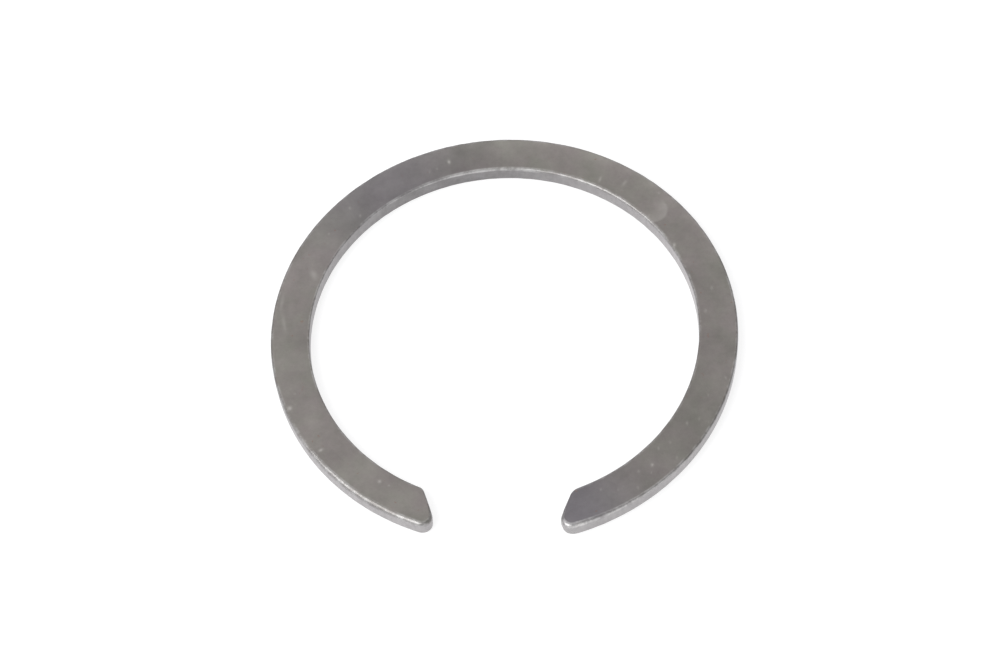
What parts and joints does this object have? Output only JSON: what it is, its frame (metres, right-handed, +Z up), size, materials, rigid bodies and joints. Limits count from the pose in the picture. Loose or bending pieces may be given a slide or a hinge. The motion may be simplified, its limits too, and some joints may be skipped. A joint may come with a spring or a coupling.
{
  "type": "circlip retaining ring",
  "caption": "Flat open spring-steel ring with two plain slanted ends; it snaps into a groove round a shaft and stops what sits beside it from sliding off.",
  "frame": {"origin": "centre of the ring's circle on the plane of its underside", "axes": "+Z up through the ring's thickness, along the shaft's axis; the gap between the ends faces -Y; the ring is the same on its +X and -X sides"},
  "size_m": [0.055, 0.0536, 0.002],
  "materials": {
    "spring_steel": "satin brownish-grey phosphated and oiled spring steel, brighter where the edges are rubbed"
  },
  "bodies": {
    "root": {"ring": "spring_steel"}
  },
  "joints": []
}
